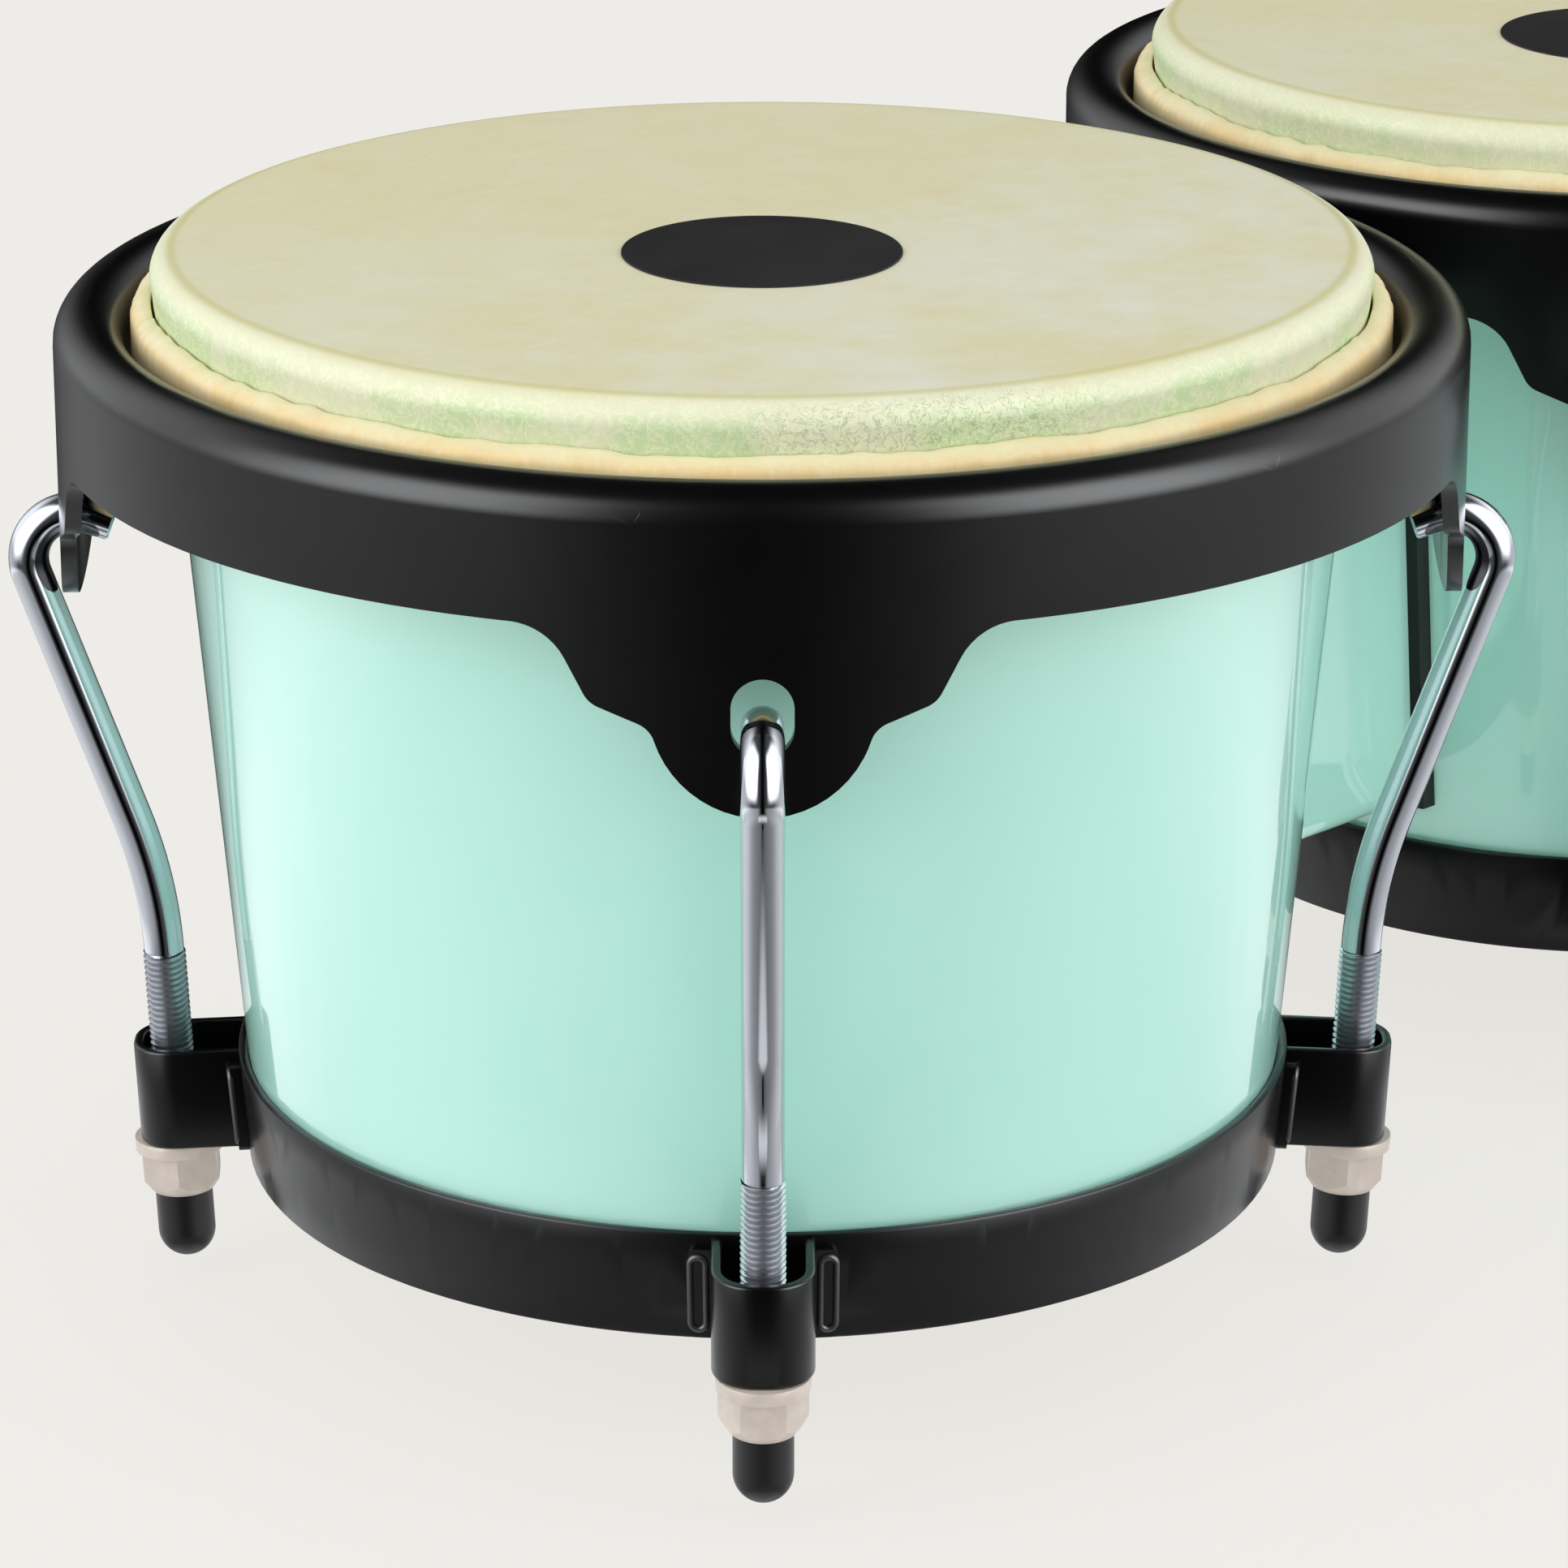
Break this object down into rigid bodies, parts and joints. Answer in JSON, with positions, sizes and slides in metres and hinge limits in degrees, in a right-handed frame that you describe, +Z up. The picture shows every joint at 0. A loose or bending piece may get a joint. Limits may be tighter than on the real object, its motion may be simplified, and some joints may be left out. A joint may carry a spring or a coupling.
{
  "type": "bongo drums",
  "caption": "Pair of tapered bongo drums on a centre block, with hook-rod tuning hardware, rolled rims with lobed ears and hide heads.",
  "frame": {"origin": "on the floor under the middle of the pair, at the centre of the bounding box", "axes": "+X from the larger drum to the smaller drum, +Z up along the drums axes"},
  "size_m": [0.428, 0.223, 0.1738],
  "materials": {
    "shell_lacquer": "gloss mint lacquer",
    "block_plastic": "gloss mint",
    "rawhide": "natural hide, satin",
    "rawhide_edge": "trimmed hide edge, rough",
    "black_disc": "matt black print",
    "black_steel": "black powder coat, satin",
    "steel": "zinc plated",
    "chrome": "polished",
    "nickel": "bright nickel",
    "brass": "plain",
    "black_rubber": "matt",
    "cap_rubber": "satin"
  },
  "bodies": {
    "frame": {"centre_block": "block_plastic", "large_shell": "shell_lacquer", "large_skin": "rawhide", "large_head_disc": "black_disc", "large_bottom_band": "black_steel", "large_block_bolts": "steel", "large_bolt_washers": "steel", "large_bolt_saddle": "black_steel", "large_block_inserts": "brass", "large_block_pad": "black_rubber", "large_lug_bracket_1": "black_steel", "large_lug_bracket_2": "black_steel", "large_lug_bracket_3": "black_steel", "large_lug_bracket_4": "black_steel", "small_shell": "shell_lacquer", "small_skin": "rawhide", "small_head_disc": "black_disc", "small_bottom_band": "black_steel", "small_block_bolts": "steel", "small_bolt_washers": "steel", "small_bolt_saddle": "black_steel", "small_block_inserts": "brass", "small_block_pad": "black_rubber", "small_lug_bracket_1": "black_steel", "small_lug_bracket_2": "black_steel", "small_lug_bracket_3": "black_steel", "small_lug_bracket_4": "black_steel"},
    "large_tension": {"large_flesh_hoop": "steel", "large_skin_collar": "rawhide_edge", "large_rim": "black_steel", "large_tuning_rod_1": "chrome", "large_end_cap_1": "cap_rubber", "large_tuning_rod_2": "chrome", "large_end_cap_2": "cap_rubber", "large_tuning_rod_3": "chrome", "large_end_cap_3": "cap_rubber", "large_tuning_rod_4": "chrome", "large_end_cap_4": "cap_rubber"},
    "large_nut_1": {"large_lug_nut_1": "nickel"},
    "large_nut_2": {"large_lug_nut_2": "nickel"},
    "large_nut_3": {"large_lug_nut_3": "nickel"},
    "large_nut_4": {"large_lug_nut_4": "nickel"},
    "small_tension": {"small_flesh_hoop": "steel", "small_skin_collar": "rawhide_edge", "small_rim": "black_steel", "small_tuning_rod_1": "chrome", "small_end_cap_1": "cap_rubber", "small_tuning_rod_2": "chrome", "small_end_cap_2": "cap_rubber", "small_tuning_rod_3": "chrome", "small_end_cap_3": "cap_rubber", "small_tuning_rod_4": "chrome", "small_end_cap_4": "cap_rubber"},
    "small_nut_1": {"small_lug_nut_1": "nickel"},
    "small_nut_2": {"small_lug_nut_2": "nickel"},
    "small_nut_3": {"small_lug_nut_3": "nickel"},
    "small_nut_4": {"small_lug_nut_4": "nickel"}
  },
  "joints": [
    {"name": "large_tuning", "type": "slide", "parent": "frame", "child": "large_tension", "axis": [0, 0, 1], "range_m": [-0.003, 0]},
    {"name": "large_nut_1_turn", "type": "hinge", "parent": "frame", "child": "large_nut_1", "pos_m": [-0.03437, 0.06808, 0.02158], "axis": [0.0327, 0.0327, 0.9989], "range_deg": [0, 1080]},
    {"name": "large_nut_2_turn", "type": "hinge", "parent": "frame", "child": "large_nut_2", "pos_m": [-0.17053, 0.06808, 0.02158], "axis": [-0.0327, 0.0327, 0.9989], "range_deg": [0, 1080]},
    {"name": "large_nut_3_turn", "type": "hinge", "parent": "frame", "child": "large_nut_3", "pos_m": [-0.17053, -0.06808, 0.02158], "axis": [-0.0327, -0.0327, 0.9989], "range_deg": [0, 1080]},
    {"name": "large_nut_4_turn", "type": "hinge", "parent": "frame", "child": "large_nut_4", "pos_m": [-0.03437, -0.06808, 0.02158], "axis": [0.0327, -0.0327, 0.9989], "range_deg": [0, 1080]},
    {"name": "small_tuning", "type": "slide", "parent": "frame", "child": "small_tension", "axis": [0, 0, 1], "range_m": [-0.003, 0]},
    {"name": "small_nut_1_turn", "type": "hinge", "parent": "frame", "child": "small_nut_1", "pos_m": [0.17425, 0.0591, 0.02158], "axis": [0.0327, 0.0327, 0.9989], "range_deg": [0, 1080]},
    {"name": "small_nut_2_turn", "type": "hinge", "parent": "frame", "child": "small_nut_2", "pos_m": [0.05605, 0.0591, 0.02158], "axis": [-0.0327, 0.0327, 0.9989], "range_deg": [0, 1080]},
    {"name": "small_nut_3_turn", "type": "hinge", "parent": "frame", "child": "small_nut_3", "pos_m": [0.05605, -0.0591, 0.02158], "axis": [-0.0327, -0.0327, 0.9989], "range_deg": [0, 1080]},
    {"name": "small_nut_4_turn", "type": "hinge", "parent": "frame", "child": "small_nut_4", "pos_m": [0.17425, -0.0591, 0.02158], "axis": [0.0327, -0.0327, 0.9989], "range_deg": [0, 1080]}
  ],
  "couplings": [
    {"joint": "large_nut_1_turn", "follows": "large_tuning", "rad_per_m": -6283},
    {"joint": "large_nut_2_turn", "follows": "large_tuning", "rad_per_m": -6283},
    {"joint": "large_nut_3_turn", "follows": "large_tuning", "rad_per_m": -6283},
    {"joint": "large_nut_4_turn", "follows": "large_tuning", "rad_per_m": -6283},
    {"joint": "small_nut_1_turn", "follows": "small_tuning", "rad_per_m": -6283},
    {"joint": "small_nut_2_turn", "follows": "small_tuning", "rad_per_m": -6283},
    {"joint": "small_nut_3_turn", "follows": "small_tuning", "rad_per_m": -6283},
    {"joint": "small_nut_4_turn", "follows": "small_tuning", "rad_per_m": -6283}
  ]
}
